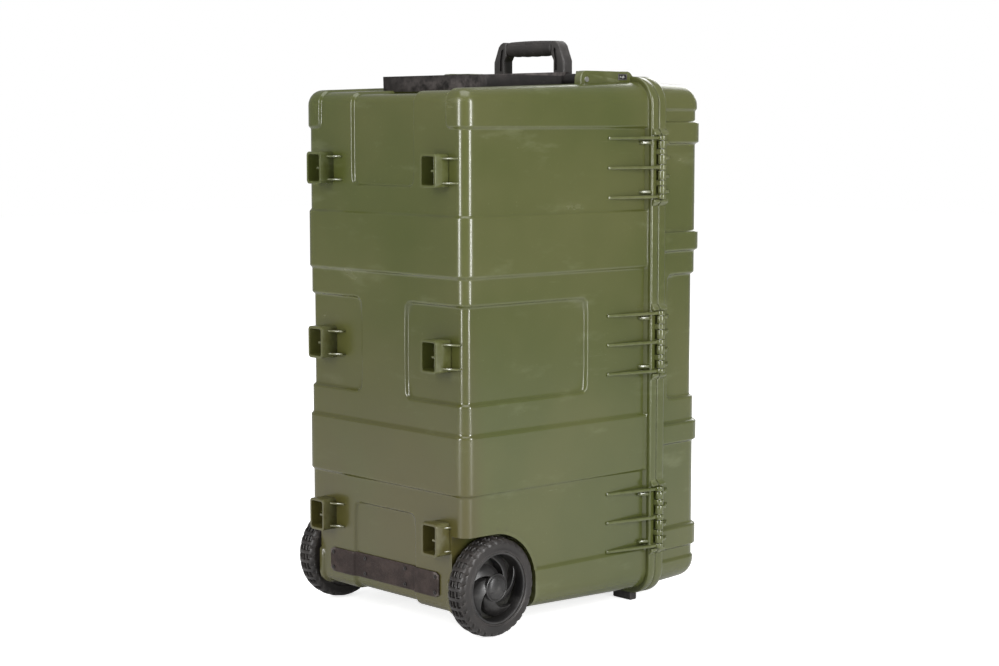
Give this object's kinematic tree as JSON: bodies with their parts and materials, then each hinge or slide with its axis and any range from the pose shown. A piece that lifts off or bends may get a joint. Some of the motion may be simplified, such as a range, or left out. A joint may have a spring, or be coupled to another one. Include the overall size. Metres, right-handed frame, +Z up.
{
  "type": "hard equipment case",
  "caption": "Upright wheeled hard case with a hinged lid, side latches, a fold-down U-shaped tow handle, a folding carry handle and hollow stacking feet.",
  "frame": {"origin": "on the floor, under the middle of the whole case as it stands on its wheels and end feet", "axes": "+Z up along the case, -Y the base's bottom with its feet, +Y the lid, +X the hinge side, -X the latch side"},
  "size_m": [0.45, 0.54, 0.901],
  "materials": {
    "shell_green": "semi-gloss",
    "black_plastic": "satin, fine texture",
    "black_rubber": "matte",
    "tyre_black": "matte",
    "strip_black": "coarse textured",
    "dark_screw": "black oxide",
    "steel": "plain",
    "bush_plastic": "natural nylon"
  },
  "bodies": {
    "base": {"base_shell": "shell_green", "hinge_pins": "steel", "tow_pivot_pins": "steel", "release_bezels": "black_plastic", "carry_handle_pins": "steel", "rub_strip": "strip_black", "rub_strip_screws": "dark_screw", "end_feet": "black_rubber", "pressure_valve": "black_plastic", "stub_axle_left": "steel", "stub_axle_right": "steel", "axle_clip_left": "steel", "axle_clip_right": "steel"},
    "lid": {"lid_shell": "shell_green", "lid_gasket": "black_rubber", "latch_lever_pins": "steel"},
    "tow_handle": {"tow_handle": "black_plastic"},
    "carry_handle": {"carry_handle": "black_plastic", "carry_grip": "black_rubber"},
    "release_button_left": {"release_button_left": "steel"},
    "release_button_right": {"release_button_right": "steel"},
    "wheel_left": {"wheel_tyre_left": "tyre_black", "wheel_hub_left": "black_plastic", "wheel_bush_left": "bush_plastic", "hub_cap_left": "black_plastic"},
    "wheel_right": {"wheel_tyre_right": "tyre_black", "wheel_hub_right": "black_plastic", "wheel_bush_right": "bush_plastic", "hub_cap_right": "black_plastic"},
    "latch_lever_1": {"latch_lever_1": "black_plastic", "latch_claw_pin_1": "steel"},
    "latch_claw_1": {"latch_claw_1": "black_plastic"},
    "latch_lever_2": {"latch_lever_2": "black_plastic", "latch_claw_pin_2": "steel"},
    "latch_claw_2": {"latch_claw_2": "black_plastic"},
    "latch_lever_3": {"latch_lever_3": "black_plastic", "latch_claw_pin_3": "steel"},
    "latch_claw_3": {"latch_claw_3": "black_plastic"},
    "latch_lever_4": {"latch_lever_4": "black_plastic", "latch_claw_pin_4": "steel"},
    "latch_claw_4": {"latch_claw_4": "black_plastic"}
  },
  "joints": [
    {"name": "lid_hinge", "type": "hinge", "parent": "base", "child": "lid", "pos_m": [0.2185, 0.146, 0.427], "axis": [0, 0, -1], "range_deg": [0, 110]},
    {"name": "tow_handle_fold", "type": "hinge", "parent": "base", "child": "tow_handle", "pos_m": [0, 0.032, 0.8365], "axis": [-1, 0, 0], "range_deg": [0, 90]},
    {"name": "carry_handle_fold", "type": "hinge", "parent": "base", "child": "carry_handle", "pos_m": [0, 0.074, 0.8355], "axis": [1, 0, 0], "range_deg": [0, 86]},
    {"name": "wheel_spin_left", "type": "hinge", "parent": "base", "child": "wheel_left", "pos_m": [-0.18, -0.1864, 0.076], "axis": [1, 0, 0], "continuous": true},
    {"name": "wheel_spin_right", "type": "hinge", "parent": "base", "child": "wheel_right", "pos_m": [0.18, -0.1864, 0.076], "axis": [1, 0, 0], "continuous": true},
    {"name": "release_button_press_left", "type": "slide", "parent": "base", "child": "release_button_left", "axis": [1, 0, 0], "range_m": [0, 0.004], "stiffness_N_per_m": 600, "springref_m": -0.002},
    {"name": "release_button_press_right", "type": "slide", "parent": "base", "child": "release_button_right", "axis": [-1, 0, 0], "range_m": [0, 0.004], "stiffness_N_per_m": 600, "springref_m": -0.002},
    {"name": "latch_lever_1_turn", "type": "hinge", "parent": "lid", "child": "latch_lever_1", "pos_m": [-0.2163, 0.153, 0.137], "axis": [0, 0, 1], "range_deg": [0, 90]},
    {"name": "latch_claw_1_swing", "type": "hinge", "parent": "latch_lever_1", "child": "latch_claw_1", "pos_m": [-0.2203, 0.159, 0.137], "axis": [0, 0, -1], "range_deg": [0, 118]},
    {"name": "latch_lever_2_turn", "type": "hinge", "parent": "lid", "child": "latch_lever_2", "pos_m": [-0.2163, 0.153, 0.33], "axis": [0, 0, 1], "range_deg": [0, 90]},
    {"name": "latch_claw_2_swing", "type": "hinge", "parent": "latch_lever_2", "child": "latch_claw_2", "pos_m": [-0.2203, 0.159, 0.33], "axis": [0, 0, -1], "range_deg": [0, 118]},
    {"name": "latch_lever_3_turn", "type": "hinge", "parent": "lid", "child": "latch_lever_3", "pos_m": [-0.2163, 0.153, 0.524], "axis": [0, 0, 1], "range_deg": [0, 90]},
    {"name": "latch_claw_3_swing", "type": "hinge", "parent": "latch_lever_3", "child": "latch_claw_3", "pos_m": [-0.2203, 0.159, 0.524], "axis": [0, 0, -1], "range_deg": [0, 118]},
    {"name": "latch_lever_4_turn", "type": "hinge", "parent": "lid", "child": "latch_lever_4", "pos_m": [-0.2163, 0.153, 0.717], "axis": [0, 0, 1], "range_deg": [0, 90]},
    {"name": "latch_claw_4_swing", "type": "hinge", "parent": "latch_lever_4", "child": "latch_claw_4", "pos_m": [-0.2203, 0.159, 0.717], "axis": [0, 0, -1], "range_deg": [0, 118]}
  ],
  "couplings": [
    {"joint": "latch_claw_1_swing", "follows": "latch_lever_1_turn", "ratio": 1.3},
    {"joint": "latch_claw_2_swing", "follows": "latch_lever_2_turn", "ratio": 1.3},
    {"joint": "latch_claw_3_swing", "follows": "latch_lever_3_turn", "ratio": 1.3},
    {"joint": "latch_claw_4_swing", "follows": "latch_lever_4_turn", "ratio": 1.3}
  ]
}
